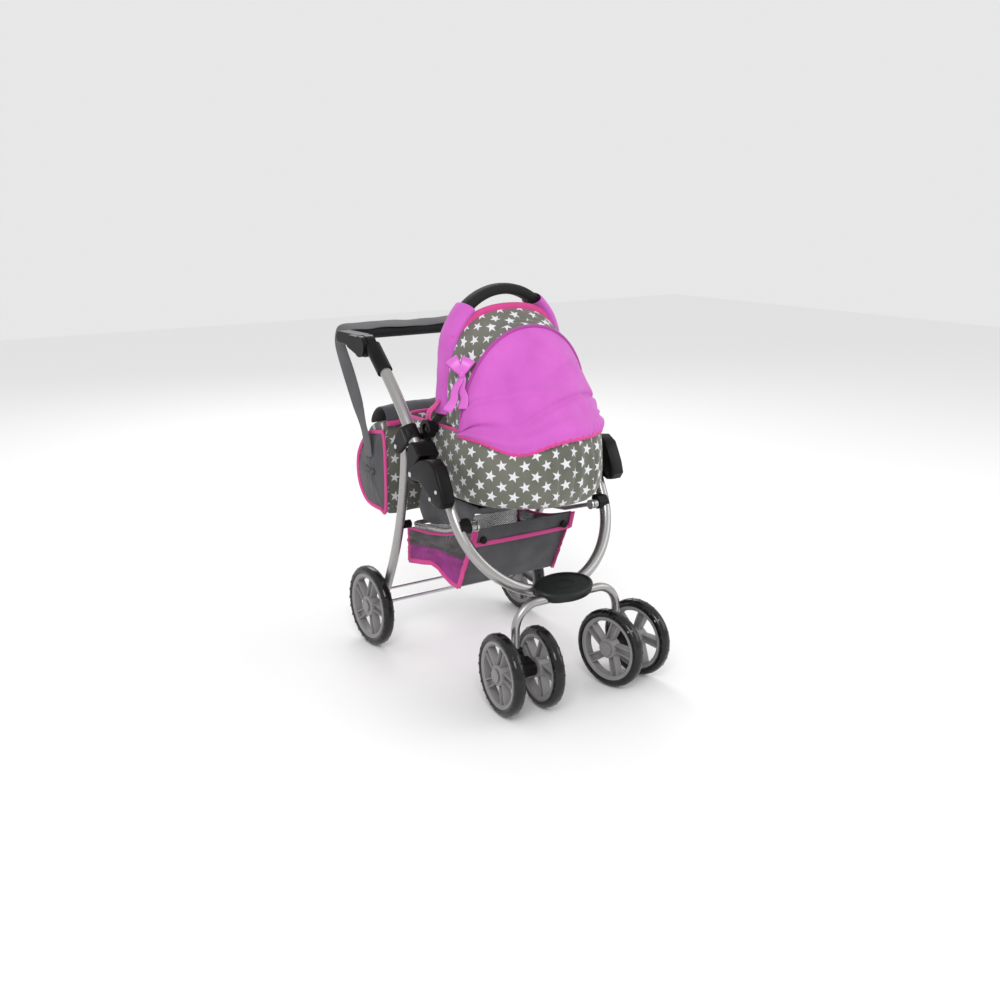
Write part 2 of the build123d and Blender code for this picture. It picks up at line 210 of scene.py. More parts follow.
def moulded(name, colour, roughness, grain_scale=1500, grain=0.12, lighter=1.25, specular=0.3):
    """Moulded plastic or rubber: a fine grain, and a slow change of colour from patch to patch."""
    made, tree, shader = material(name, colour, roughness, specular=specular)
    place = object_place(tree)
    fine = noise_of(tree, place, grain_scale, 2)
    patch = noise_of(tree, place, 18, 4)
    tint = tuple(min(channel * lighter + 0.004, 1) for channel in colour)
    vary_colour(tree, shader, patch, 0.35, 0.7, colour, tint)
    vary_roughness(tree, shader, fine, 0.3, 0.7, roughness - 0.05, roughness + 0.07)
    bump(tree, shader, fine, grain, 0.0003)
    return made


def foam():
    """Dull black foam with open pores."""
    made, tree, shader = material("black_foam", (0.008, 0.008, 0.008), 0.7, sheen=0.05, specular=0.25)
    pores = noise_of(tree, object_place(tree), 900, 6, 0.7)
    vary_colour(tree, shader, pores, 0.3, 0.7, (0.004, 0.004, 0.004), (0.014, 0.0135, 0.0135))
    bump(tree, shader, pores, 0.5, 0.0006)
    return made


def cloth(name, colour, deep, pitch=0.0011, roughness=0.78, sheen=0.25, weave=0.35, satin=False):
    """Woven cloth: thread bump on the cloth's own map, and slow light and dark patches."""
    made, tree, shader = material(name, colour, roughness, sheen=sheen)
    place, solid_place = cloth_place(tree), object_place(tree)
    threads = weave_height(tree, place, pitch)
    slow = noise_of(tree, solid_place, 16, 4)
    vary_colour(tree, shader, slow, 0.3, 0.72, deep, colour)
    if satin:
        shader.inputs["Roughness"].default_value = 0.32
    else:
        vary_roughness(tree, shader, threads, -1, 1, roughness - 0.08, roughness + 0.08)
    creases = noise_of(tree, solid_place, 75, 3)
    height = maths(tree, "ADD", maths(tree, "MULTIPLY", threads, 0.25), creases)
    bump(tree, shader, height, weave, 0.0006)
    return made


def star_mask(tree, place, column=0.042, row=0.039, radius=0.0113):
    """White five-pointed stars on two interleaved grids; 1 inside a star."""
    split = tree.nodes.new("ShaderNodeSeparateXYZ")
    tree.links.new(place, split.inputs[0])
    inner = 0.42 * radius
    fifth = math.radians(36)
    masks = []
    for shift, lean in ((0.0, -0.22), (0.5, 0.26)):
        local = []
        for axis, pitch in ((0, column), (1, row)):
            along = maths(tree, "ADD", maths(tree, "DIVIDE", split.outputs[axis], pitch), shift)
            local.append(maths(tree, "MULTIPLY", maths(tree, "SUBTRACT", maths(tree, "FRACT", along), 0.5), pitch))
        reach = maths(tree, "SQRT", maths(tree, "ADD", maths(tree, "MULTIPLY", local[0], local[0]),
                                          maths(tree, "MULTIPLY", local[1], local[1])))
        bearing = maths(tree, "ADD", maths(tree, "ARCTAN2", local[0], local[1]), lean)
        folded = maths(tree, "ABSOLUTE", maths(tree, "WRAP", bearing, fifth, -fifth))
        opposite = maths(tree, "SINE", maths(tree, "SUBTRACT", fifth, folded))
        below = maths(tree, "ADD", maths(tree, "MULTIPLY", opposite, inner),
                      maths(tree, "MULTIPLY", maths(tree, "SINE", folded), radius))
        edge = maths(tree, "DIVIDE", radius * inner * math.sin(fifth), below)
        gap = maths(tree, "SUBTRACT", edge, reach)
        masks.append(maths(tree, "MULTIPLY", gap, 2500))
    both = maths(tree, "MAXIMUM", masks[0], masks[1])
    node = tree.nodes.new("ShaderNodeClamp")
    tree.links.new(both, node.inputs[0])
    return node.outputs[0]


def star_cloth():
    """Grey-green cloth printed with white stars."""
    made, tree, shader = material("star_cloth", (0.2, 0.2, 0.16), 0.72, sheen=0.2)
    place, solid_place = cloth_place(tree), object_place(tree)
    threads = weave_height(tree, place, 0.0012)
    slow = noise_of(tree, solid_place, 12, 4)
    ground = mix_colour(tree, spread(tree, slow, 0.3, 0.7, 0, 1), (0.1, 0.108, 0.082), (0.158, 0.156, 0.128))
    printed = mix_colour(tree, star_mask(tree, place), ground, (0.72, 0.72, 0.75))
    tree.links.new(printed, shader.inputs["Base Color"])
    creases = noise_of(tree, solid_place, 60, 4)
    height = maths(tree, "ADD", maths(tree, "MULTIPLY", threads, 0.2), creases)
    bump(tree, shader, height, 0.4, 0.0008)
    return made


def net(name, colour, pitch=0.0034, thread=0.4):
    """Open knitted mesh: holes are cut in a diamond grid."""
    made, tree, shader = material(name, colour, 0.7, sheen=0.2)
    split = tree.nodes.new("ShaderNodeSeparateXYZ")
    tree.links.new(cloth_place(tree), split.inputs[0])
    lines = []
    for sign in (1, -1):
        skew = maths(tree, "ADD", split.outputs[0], maths(tree, "MULTIPLY", split.outputs[1], sign))
        lines.append(maths(tree, "LESS_THAN", maths(tree, "FRACT", maths(tree, "DIVIDE", skew, pitch)), thread))
    solid = maths(tree, "MAXIMUM", lines[0], lines[1])
    tree.links.new(solid, shader.inputs["Alpha"])
    slow = noise_of(tree, object_place(tree), 40, 3)
    tint = tuple(channel * 0.6 for channel in colour)
    vary_colour(tree, shader, slow, 0.3, 0.7, tint, colour)
    bump(tree, shader, solid, 0.5, 0.0005)
    return made


SILVER = painted_steel()
ZINC = zinc_steel()
BLACK = moulded("black_plastic", (0.0025, 0.0022, 0.0024), 0.34, lighter=1.2, specular=0.2)
PLATE = moulded("plate_plastic", (0.006, 0.0085, 0.008), 0.36, grain_scale=900, grain=0.25)
GREY = moulded("grey_rim_plastic", (0.235, 0.228, 0.232), 0.42, lighter=1.1)
RUBBER = moulded("tyre_rubber", (0.0035, 0.0033, 0.0035), 0.16, grain_scale=500, grain=0.06, specular=0.42)
FOAM = foam()
ORCHID = cloth("orchid_cloth", (0.62, 0.115, 0.55), (0.52, 0.085, 0.46), pitch=0.0009, sheen=0.12)
# darker copy of the orchid cloth for the bow's piping: painted shade that stands in for the shadow line along the
# piping
SHADED_PIPING = cloth("orchid_piping_painted_shade", (0.42, 0.05, 0.34), (0.36, 0.04, 0.29), pitch=0.0009, sheen=0.1)
HOT_PINK = cloth("hot_pink_tape", (0.72, 0.06, 0.3), (0.58, 0.04, 0.23), pitch=0.0016, weave=0.5, sheen=0.12)
GREY_CLOTH = cloth("dark_grey_cloth", (0.088, 0.087, 0.095), (0.055, 0.055, 0.062), pitch=0.0013, sheen=0.12)
WEBBING = cloth("grey_webbing", (0.115, 0.112, 0.118), (0.085, 0.082, 0.087), pitch=0.0022, weave=0.8, sheen=0.12)
LINING = cloth("white_lining", (0.78, 0.78, 0.77), (0.7, 0.7, 0.69))
SATIN = cloth("satin_ribbon", (0.7, 0.15, 0.62), (0.6, 0.11, 0.53), sheen=0.05, weave=0.1, satin=True)
STARS = star_cloth()
MAGENTA_NET = net("magenta_mesh", (0.4, 0.025, 0.3), pitch=0.0042, thread=0.5)
GREY_NET = net("grey_mesh", (0.09, 0.08, 0.085), pitch=0.0042, thread=0.4)


# ---- making pieces
def finish_piece(piece, finish, body, slot_name=None):
    """Give a piece its finish, smooth faces and its body; slot_name is not used."""
    piece.data.materials.clear()
    piece.data.materials.append(finish)
    for face in piece.data.polygons:
        face.use_smooth = True
    if body:
        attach(piece, body)
    slot_name or finish.name.split(".")[0]
    return piece


def mend(piece, merge=0.0, hole_sides=0, hole_edge=None, outwards=True):
    """Merge doubled corners, close holes of up to hole_sides sides, and turn the faces outwards."""
    shape = bmesh.new()
    shape.from_mesh(piece.data)
    if merge:
        bmesh.ops.remove_doubles(shape, verts=shape.verts, dist=merge)
    if hole_sides:
        open_edges = [e for e in shape.edges if e.is_boundary and (hole_edge is None or hole_edge(e))]
        bmesh.ops.holes_fill(shape, edges=open_edges, sides=hole_sides)
    if outwards:
        bmesh.ops.recalc_face_normals(shape, faces=shape.faces)
    shape.to_mesh(piece.data)
    shape.free()


def link_mesh(name, mesh):
    piece = bpy.data.objects.new(name, mesh)
    bpy.context.scene.collection.objects.link(piece)
    return piece


def cloth_grid(name, rows, closed=False):
    """A sheet of cloth from rows of points; its map runs along the rows and across them, in metres."""
    mesh = bpy.data.meshes.new(name)
    shape = bmesh.new()
    grid = [[shape.verts.new(point) for point in row] for row in rows]
    layer = shape.loops.layers.uv.new("cloth")
    middle = rows[len(rows) // 2]
    along = [0.0]
    for a, b in zip(middle, middle[1:] + middle[:1]):
        along.append(along[-1] + (Vector(b) - Vector(a)).length)
    column = [row[len(row) // 2] for row in rows]
    across = [0.0]
    for a, b in zip(column, column[1:]):
        across.append(across[-1] + (Vector(b) - Vector(a)).length)
    width = len(rows[0])
    for r in range(len(rows) - 1):
        for c in range(width if closed else width - 1):
            d = (c + 1) % width
            corners = [(r, c), (r, d), (r + 1, d), (r + 1, c)]
            places = [(along[c], across[r]), (along[c + 1], across[r]),
                      (along[c + 1], across[r + 1]), (along[c], across[r + 1])]
            face = shape.faces.new([grid[i][j] for i, j in corners])
            for loop, place in zip(face.loops, places):
                loop[layer].uv = place
    shape.to_mesh(mesh)
    shape.free()
    return link_mesh(name, mesh)


def rows_of(across, along, place):
    """Rows of points for a sheet: place(u, v) gives one, u from 0 to 1 along a row and v from row to row."""
    return [[place(i / along, j / across) for i in range(along + 1)] for j in range(across + 1)]


def apply_modifier(piece, kind, **settings):
    bpy.context.view_layer.objects.active = piece
    piece.select_set(True)
    modifier = piece.modifiers.new(kind.lower(), kind)
    for key, value in settings.items():
        setattr(modifier, key, value)
    bpy.ops.object.modifier_apply(modifier=modifier.name)
    piece.select_set(False)
    return piece


def thicken(piece, thickness, offset=0.0, smooth_levels=1):
    """Turn a one-layer sheet into cloth of a thickness."""
    apply_modifier(piece, "SOLIDIFY", thickness=thickness, offset=offset)
    if smooth_levels:
        apply_modifier(piece, "SUBSURF", levels=smooth_levels, render_levels=smooth_levels)
    return piece


def strip_along(name, points, width_of, flat_dir=None, thickness=0.0012, rounding=8, closed=False):
    """A tape or cord along points: an oval section, width_of wide along flat_dir and thickness thick."""
    total = len(points)
    rows = []
    for i, point in enumerate(points):
        ahead = points[(i + 1) % total] if closed else points[min(i + 1, total - 1)]
        behind = points[i - 1] if closed else points[max(i - 1, 0)]
        run = (Vector(ahead) - Vector(behind)).normalized()
        side = Vector(flat_dir(i) if callable(flat_dir) else (flat_dir or (0, 0, 1)))
        side = (side - run * side.dot(run)).normalized()
        up = run.cross(side)
        half = (width_of(i) if callable(width_of) else width_of) / 2
        ring = [Vector(point) + side * half * math.cos(2 * math.pi * k / rounding)
                + up * thickness / 2 * math.sin(2 * math.pi * k / rounding) for k in range(rounding)]
        rows.append(ring)
    if closed:
        rows.append(rows[0])
    piece = cloth_grid(name, rows, closed=True)
    if closed:
        mend(piece, merge=1e-6)
    else:
        mend(piece, hole_sides=rounding)
    return piece


def deselect():
    """Leave nothing selected, so that an operator acts on its own piece only."""
    for each in bpy.context.selected_objects:
        each.select_set(False)


def only(piece):
    """Select this piece alone and make it the active one."""
    deselect()
    bpy.context.view_layer.objects.active = piece
    piece.select_set(True)


def close_and_leave_edit():
    """In edit mode: merge what meets, turn the faces outwards and go back to object mode."""
    bpy.ops.mesh.select_all(action="SELECT")
    bpy.ops.mesh.remove_doubles(threshold=1e-6)
    bpy.ops.mesh.normals_make_consistent(inside=False)
    bpy.ops.object.mode_set(mode="OBJECT")
    deselect()


def outline_piece(name, corners, fill):
    """A flat outline with these corners, open in edit mode with all of it selected."""
    deselect()
    bpy.ops.mesh.primitive_circle_add(vertices=len(corners), fill_type=fill, calc_uvs=False)
    piece = bpy.context.object
    piece.name = name
    for vertex, corner in zip(piece.data.vertices, corners):
        vertex.co = corner
    bpy.ops.object.mode_set(mode="EDIT")
    bpy.ops.mesh.select_all(action="SELECT")
    return piece


def turned(name, profile, steps):
    """A turned ring about X: a closed outline of (x, radius) points spun once round."""
    piece = outline_piece(name, [(x, radius, 0) for x, radius in profile], "NOTHING")
    bpy.ops.mesh.spin(steps=steps, angle=2 * math.pi, center=(0, 0, 0), axis=(1, 0, 0))
    close_and_leave_edit()
    return piece


def disc(name, sides, radius, depth, place, turn, edge, segments):
    """A short cylinder with a rounded edge: a rivet, a snap or a hub."""
    deselect()
    bpy.ops.mesh.primitive_cylinder_add(vertices=sides, radius=radius, depth=depth, location=place, rotation=turn)
    piece = bpy.context.object
    piece.name = name
    bpy.ops.object.transform_apply(location=True, rotation=True, scale=True)
    return apply_modifier(piece, "BEVEL", width=edge, segments=segments)


def smooth_by_angle(piece, degrees):
    only(piece)
    bpy.ops.object.shade_smooth_by_angle(angle=math.radians(degrees))
    deselect()


def joined(pieces):
    """Join pieces into the first one and give back its mesh alone."""
    only(pieces[0])
    for piece in pieces:
        piece.select_set(True)
    bpy.ops.object.join()
    mesh = pieces[0].data
    bpy.data.objects.remove(pieces[0])
    return mesh


# ---- floor, light and camera
def studio():
    """Pale floor, three soft lamps, and a camera ahead of the stroller on its right."""
    world = bpy.data.worlds.new("studio")
    bpy.context.scene.world = world
    world.use_nodes = True
    world.node_tree.nodes["Background"].inputs[0].default_value = (1, 1, 1, 1)
    world.node_tree.nodes["Background"].inputs[1].default_value = 0.8
    deselect()
    bpy.ops.mesh.primitive_plane_add(size=12, location=(0, 0, -0.0005))
    floor = bpy.context.object
    floor.name = "floor"
    floor.data.materials.append(material("pale_floor", (0.93, 0.93, 0.93), 0.85)[0])
    for name, place, size, power in (("key", (-1.6, -2.2, 2.4), 1.3, 42), ("fill", (2.2, -1.6, 1.6), 1.6, 14),
                                     ("rim", (0.8, 2.3, 2.2), 1.4, 22)):
        lamp = bpy.data.lights.new(name, "AREA")
        lamp.size = size
        lamp.energy = power
        holder = bpy.data.objects.new(name, lamp)
        holder.location = place
        aim = Vector((0, 0, 0.35)) - holder.location
        holder.rotation_euler = aim.to_track_quat("-Z", "Y").to_euler()
        bpy.context.scene.collection.objects.link(holder)
    lens = bpy.data.cameras.new("camera")
    lens.lens = 41.76
    lens.sensor_width = 36
    camera = bpy.data.objects.new("camera", lens)
    azimuth, elevation, roll = math.radians(-34.28), math.radians(14.95), math.radians(-0.17)
    camera.location = (-1.233, -1.803, 0.904)
    forward = Vector((-math.sin(azimuth) * math.cos(elevation), math.cos(azimuth) * math.cos(elevation),
                      -math.sin(elevation)))
    turn = forward.to_track_quat("-Z", "Y").to_matrix().to_4x4() @ Matrix.Rotation(roll, 4, "Z")
    camera.rotation_euler = turn.to_euler()
    bpy.context.scene.collection.objects.link(camera)
    bpy.context.scene.camera = camera
    bpy.context.scene.view_settings.view_transform = "Standard"


# ---- finishes of the carried-over nodes
def finish_cad_nodes():
    """Give every node that is carried over its finish, by the start of its name."""
    finishes = {
        SILVER: ("u_tube", "front_arch_tube", "upper_tube_", "rear_leg_", "handle_bar", "basket_hoop"),
        ZINC: ("rear_axle", "brace_rod", "fold_pivots", "leg_pivots", "bracket_bolts", "caster_axle"),
        GREY: ("rim_", "hub_cap_"),
        RUBBER: ("tyre_",),
        PLATE: ("oval_foot_plate",),
        FOAM: ("handle_grip",),
        LINING: ("mattress",),
        GREY_CLOTH: ("seat_sling", "basket_shell"),
    }
    for name, node in frame["nodes"].items():
        chosen = BLACK
        for finish, starts in finishes.items():
            if name.startswith(starts):
                chosen = finish
        node.data.materials.clear()
        node.data.materials.append(chosen)


# ---- wheels and hinges
TREAD_BARS = 26
SPOKES = 5
TYRE_HALF = 0.011
RIM_HALF = 0.0098


def tyre(radius):
    """Tyre with a rounded crown, and slanted raised bars on both shoulders."""
    seat = 0.81 * radius
    depth = radius - seat
    shoulder = [(-TYRE_HALF * 0.82, seat), (-TYRE_HALF, seat + 0.2 * depth), (-TYRE_HALF, seat + 0.55 * depth),
                (-TYRE_HALF * 0.8, seat + 0.82 * depth), (-TYRE_HALF * 0.45, radius - 0.0006)]
    profile = shoulder + [(0, radius)] + [(-x, reach) for x, reach in reversed(shoulder)]
    parts = [turned("tyre_ring", profile, 96)]
    for side in (-1, 1):
        deselect()
        bpy.ops.mesh.primitive_cube_add(size=1, calc_uvs=False)
        bar = bpy.context.object
        for vertex in bar.data.vertices:
            x, y, z = vertex.co
            reach = radius - 0.0035 + z * 0.0064 - abs(x) * 0.0002
            across = side * (TYRE_HALF * 0.62 - z * TYRE_HALF * 0.56) + x * 0.0042
            slant = 0.035 * (0.5 - z) * side + y * 0.05
            vertex.co = (across, reach * math.cos(slant), reach * math.sin(slant))
        mend(bar)
        for number in range(TREAD_BARS):
            turn = 2 * math.pi * (number + (0.5 if side > 0 else 0)) / TREAD_BARS
            parts.append(link_mesh("tread_bar", bar.data.copy()))
            parts[-1].data.transform(Matrix.Rotation(turn, 4, "X"))
        bpy.data.objects.remove(bar)
    return joined(parts)


def rim(radius):
    """Moulded wheel: a deep ring, a flat hub disc and five open channel spokes."""
    edge = [(-RIM_HALF, 0.815 * radius), (-RIM_HALF, 0.745 * radius), (-0.0078, 0.715 * radius)]
    parts = [turned("rim_ring", edge + [(-x, reach) for x, reach in reversed(edge)], 72),
             disc("rim_hub", 48, 0.25 * radius, 0.0204, (0, 0, 0), (0, math.pi / 2, 0), 0.0012, 2)]
    for offset, thick, depth in ((-0.0072, 0.0024, 0.0165), (0.0072, 0.0024, 0.0165), (0.0, 0.0135, 0.0032)):
        deselect()
        bpy.ops.mesh.primitive_cube_add(size=1, calc_uvs=False)
        wall = bpy.context.object
        for vertex in wall.data.vertices:
            x, y, z = vertex.co
            reach = (0.485 + 0.545 * z) * radius
            narrow = 0.78 + 0.3 * (z + 0.5)
            vertex.co = (x * depth, (y * thick + offset) * narrow + 0.004 * (0.5 - z), reach)
        apply_modifier(wall, "BEVEL", width=0.0005, segments=2)
        for spoke in range(SPOKES):
            parts.append(link_mesh("spoke_wall", wall.data.copy()))
            parts[-1].data.transform(Matrix.Rotation(2 * math.pi * spoke / SPOKES + 0.3, 4, "X"))
        bpy.data.objects.remove(wall)
    return joined(parts)


def wheels():
    """Six wheels: a tyre and a rim are modelled once for each size of wheel and copied."""
    modelled = {}
    for joint in frame["joints"]:
        if not joint["name"].startswith("wheel_spin_"):
            continue
        name = joint["name"][len("wheel_spin_"):]
        low, high = (Vector(corner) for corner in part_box(f"tyre_{name}"))
        size = round((high.z - low.z) / 2, 5)
        if size not in modelled:
            modelled[size] = tyre(size), rim(size)
        axle = Vector((1, 0, 0)).rotation_difference(Vector(joint["axis"])).to_matrix().to_4x4()
        for kind, mesh, finish, slot_name, crease in zip(("tyre", "rim"), modelled[size], (RUBBER, GREY),
                                                         ("black_tyre", "grey_rim"), (38, 35)):
            piece = link_mesh(f"moulded_{kind}_{name}", mesh.copy())
            piece.data.transform(Matrix.Translation((low + high) / 2) @ axle)
            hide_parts(f"{kind}_{name}")
            finish_piece(piece, finish, f"wheel_{name}", slot_name)
            smooth_by_angle(piece, crease)


def hinge_shells():
    """Black fold-hinge bodies: a tapered moulding along the tube with a lobe round the pivot, and two rivets."""
    outline = [(0.003, 0.403), (-0.001, 0.394), (-0.012, 0.391), (-0.038, 0.394), (-0.060, 0.379), (-0.081, 0.362),
               (-0.098, 0.356), (-0.112, 0.359), (-0.120, 0.371), (-0.114, 0.392), (-0.104, 0.412), (-0.094, 0.430),
               (-0.074, 0.441), (-0.040, 0.436), (-0.008, 0.417)]
    for side, sign in LEFT_AND_RIGHT:
        low, high = sorted((sign * 0.180, sign * 0.2085))
        body = outline_piece(f"hinge_body_{side}", [(low, *corner) for corner in outline], "NGON")
        bpy.ops.mesh.extrude_region_move(TRANSFORM_OT_translate={"value": (high - low, 0, 0)})
        close_and_leave_edit()
        apply_modifier(body, "BEVEL", width=0.0055, segments=5, limit_method="ANGLE", angle_limit=math.radians(50))
        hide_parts(f"hinge_shell_{side}")
        finish_piece(body, BLACK, "front_frame")
        smooth_by_angle(body, 40)
        for number, place in enumerate(((-0.099, 0.388), (-0.078, 0.371))):
            rivet = disc(f"hinge_rivet_{side}_{number}", 32, 0.0038, 0.0022, (sign * 0.2090, *place),
                         (0, math.pi / 2, 0), 0.0008, 3)
            finish_piece(rivet, ZINC, "front_frame")


# ---- cot
def cot_edge(share, inset=0.0):
    """Point on the cot's plan outline; share runs once round it from the back's middle over the left side."""
    share %= 1.0
    if share > 0.5:
        x, y = cot_edge(1 - share, inset)
        return -x, y
    half, back, corner = COT_HALF - inset, COT_BACK - inset, 0.045 - inset * 0.5
    straight = back - corner - COT_NOSE
    back_run, bend, nose_run = half - corner, corner * math.pi / 2, half * math.pi / 2
    place = share * 2 * (back_run + bend + straight + nose_run)
    if place <= back_run:
        return place, back
    if place <= back_run + bend:
        turn = (place - back_run) / corner
        return half - corner + corner * math.sin(turn), back - corner + corner * math.cos(turn)
    if place <= back_run + bend + straight:
        return half, back - corner - (place - back_run - bend)
    turn = (place - back_run - bend - straight) / half
    return half * math.cos(turn), COT_NOSE - half * math.sin(turn)


def cot():
    """Star-cloth tub with a soft lower edge, gathers at the nose, a lining and a pink-bound rim."""
    around = 200
    profile = [(0.055, 0.0022), (0.03, 0.0008), (0.012, 0.002), (0.004, 0.008), (0.0005, 0.018), (-0.001, 0.032),
               (-0.002, 0.048), (-0.003, 0.064), (-0.003, 0.08), (-0.002, 0.096), (-0.0005, 0.112), (0.0, 0.124),
               (0.0005, 0.131), (0.003, 0.1355), (0.006, 0.133), (0.008, 0.11), (0.009, 0.06), (0.0095, 0.015)]
    rows = []
    for inset, height in profile:
        row = []
        for k in range(around):
            share = k / around
            x, y = cot_edge(share, max(inset, 0))
            gather = smoothstep(-0.06, -0.18, y) * 0.6 + 0.35
            pleat = (math.sin(share * 420) * 0.6 + math.sin(share * 263 + 1)) * smoothstep(0.05, 0.09, share - 0.36)
            pleat *= 0.0042 * smoothstep(0.62, 0.5, share) * math.sin(math.pi * min(height / 0.13, 1)) ** 0.5
            outward = Vector((x, min(y - COT_NOSE, 0), 0))
            if outward.length > 1e-6:
                outward.normalize()
            outer = height < 0.134 and inset < 0.005
            swell = ripple(x, y, height, 20, 3.0) * 0.004 + ripple(x, y, height * 0.25, 55, 9.0) * 0.0022
            swell = swell * gather + pleat
            if outer:
                swell += 0.007 * smoothstep(0.01, -0.09, y) * math.sin(math.pi * min(max(height / 0.136, 0), 1)) ** 0.7
            push = (swell - min(inset, 0)) if outer else 0
            row.append(Vector((x, y, COT_FLOOR + height)) + outward * push)
        rows.append(row)
    shell = cloth_grid("cot_cover", rows, closed=True)
    apply_modifier(shell, "SUBSURF", levels=1, render_levels=1)
    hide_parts("cot_shell")
    finish_piece(shell, STARS, "cot")
    base = cloth_grid("cot_base", [[Vector((*cot_edge(k / 96, inset), COT_FLOOR + 0.0028)) for k in range(96)]
                                   for inset in (0.02, 0.05, 0.09, 0.13)], closed=True)
    thicken(base, 0.003, smooth_levels=0)
    finish_piece(base, GREY_CLOTH, "cot")
    low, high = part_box("mattress")
    rows = [[Vector((*cot_edge(k / 120, inset), z + 0.0015 * ripple(k * 0.05, inset * 20, z, 2)))
             for k in range(120)] for inset, z in
            ((0.06, low[2] + 0.0005), (0.016, low[2] + 0.0005), (0.0115, low[2] + 0.003), (0.0108, low[2] + 0.008),
             (0.0118, high[2] - 0.003), (0.017, high[2] - 0.0006), (0.04, high[2]), (0.08, high[2] - 0.0008))]
    pad = cloth_grid("soft_mattress", rows, closed=True)
    mend(pad, hole_sides=121)
    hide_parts("mattress")
    finish_piece(pad, LINING, "cot")
    rim = [Vector((*cot_edge(k / 160, 0.004), COT_FLOOR + 0.134)) for k in range(160)]
    tape = strip_along("cot_rim_tape", rim, 0.0075, (0, 0, 1), 0.0065, 10, closed=True)
    finish_piece(tape, HOT_PINK, "cot")


# ---- hood
def bow_point(turn, out=0.0):
    """Point on the front bow's arch; turn goes from 0 at the left foot to pi at the right one."""
    rise = max(math.sin(turn), 0) ** 0.9
    x = (BOW_FOOT.x + out) * math.copysign(abs(math.cos(turn)) ** 0.97, math.cos(turn))
    y = BOW_FOOT.y + (BOW_TOP.y - BOW_FOOT.y) * rise - out * rise * 0.4
    z = BOW_FOOT.z + (BOW_TOP.z - BOW_FOOT.z + out) * rise
    return Vector((x, y, z))


def rear_point(turn, out=0.0):
    """Point on the canopy's rear arch, just ahead of the carry handle."""
    rise = max(math.sin(turn), 0) ** 0.48
    x = (0.131 + out) * math.copysign(abs(math.cos(turn)) ** 0.85, math.cos(turn))
    return Vector((x, HUB_Y - 0.022 - 0.010 * rise, 0.486 + (0.207 + out) * rise))


def hood():
    """Star canopy from the front bow back to the carry handle, its rear tape, and the piping on the bow."""
    def canopy_place(u, v):
        turn = math.pi * u
        point = bow_point(turn).lerp(rear_point(turn), v)
        belly = math.sin(math.pi * v)
        out = Vector((point.x * 0.5, -0.02, max(point.z - 0.5, 0))).normalized()
        crease = ripple(point.x, point.y * 2.5, point.z, 34, 5.0) * 0.007 * belly
        crease += 0.004 * math.sin(v * 19 + turn * 5) * belly * smoothstep(0.6, 0.1, v)
        point += out * (0.006 * belly * math.sin(turn) + crease)
        point.z -= 0.012 * belly * math.sin(turn) ** 3
        return point

    canopy = cloth_grid("star_canopy", rows_of(14, 64, canopy_place))
    thicken(canopy, CLOTH_THICK)
    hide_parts("hood_canopy")
    finish_piece(canopy, STARS, None)
    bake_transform(canopy)
    trim = strip_along("canopy_rear_trim", [rear_point(math.pi * i / 64, 0.004) for i in range(12, 53)], 0.014,
                       (0, 0.15, 1), 0.003)
    finish_piece(trim, HOT_PINK, "hood")
    piping = strip_along("bow_piping", [bow_point(math.pi * i / 80, 0.0012) for i in range(81)], 0.0062,
                         (0, 1, 0), 0.0062, 10)
    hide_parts("hood_bow")
    # the piping gets the darker orchid copy, with painted shade for its shadow line
    finish_piece(piping, SHADED_PIPING, None, "orchid_cloth")
    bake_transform(piping)


def drape_foot(turn):
    """Lower edge of the drape, over the outside of the cot's rim."""
    side = math.cos(turn)
    reach = math.sin(turn)
    dip = 0.022 * math.exp(-((turn - 2.25) / 0.36) ** 2)
    x = (COT_HALF + 0.0055) * side
    y = COT_NOSE - (COT_HALF + 0.0075) * reach
    return Vector((x, y, 0.4795 - dip))


def drape():
    """Pink front of the hood, from the bow down over the rim, with loose folds and gathers along the elastic."""
    folds = ((0.009, 0.66, 0.16, 0.032, 2.5, 1), (0.008, 0.77, -0.10, 0.024, 1.9, -1),
             (-0.007, 0.83, 0.07, 0.028, 2.6, 1), (0.007, 0.45, 0.34, 0.028, 1.9, 1),
             (-0.006, 0.56, -0.22, 0.032, 1.2, -1))

    def drape_place(u, v):
        turn = math.pi * u
        top, foot = bow_point(turn), drape_foot(turn)
        reach = math.sin(turn)
        pull = top.lerp(foot, 0.6) + Vector((0.004 * math.cos(turn), -0.004 * reach, 0.006 * reach))
        point = top * (1 - v) ** 2 + pull * 2 * v * (1 - v) + foot * v * v
        out = Vector((point.x, (point.y - COT_NOSE) * 1.1, 0.04)).normalized()
        roll = 0.009 * math.exp(-((v - 0.9) / 0.07) ** 2) * (0.4 + 0.6 * reach)
        slow = ripple(*point, 9, 11.0) * 0.007 + ripple(point.x * 1.3, point.y, point.z * 0.8, 21, 2.0) * 0.0055
        gathers = 0.0024 * math.sin(turn * 62) * smoothstep(0.84, 1.0, v) * (0.3 + 0.9 * smoothstep(1.75, 0.9, turn))
        fold = sum(deep * math.exp(-((v - at - lean * (turn - 1.6)) / wide) ** 2)
                   * smoothstep(start, start - 0.8 * way, turn) for deep, at, lean, wide, start, way in folds)
        return point + out * (roll + (slow - fold) * math.sin(math.pi * min(v * 1.05, 1)) + gathers)

    sheet = cloth_grid("pink_drape", rows_of(46, 120, drape_place))
    thicken(sheet, CLOTH_THICK)
    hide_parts("hood_drape")
    finish_piece(sheet, ORCHID, None)
    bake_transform(sheet)
    edge = [drape_foot(math.pi * i / 120) + Vector((0, 0, -0.001 + 0.0016 * math.sin(i * 2.4))) for i in range(121)]
    elastic = strip_along("drape_elastic", edge, 0.0085, (0, 0, 1), 0.0036, 8)
    finish_piece(elastic, HOT_PINK, "cot")


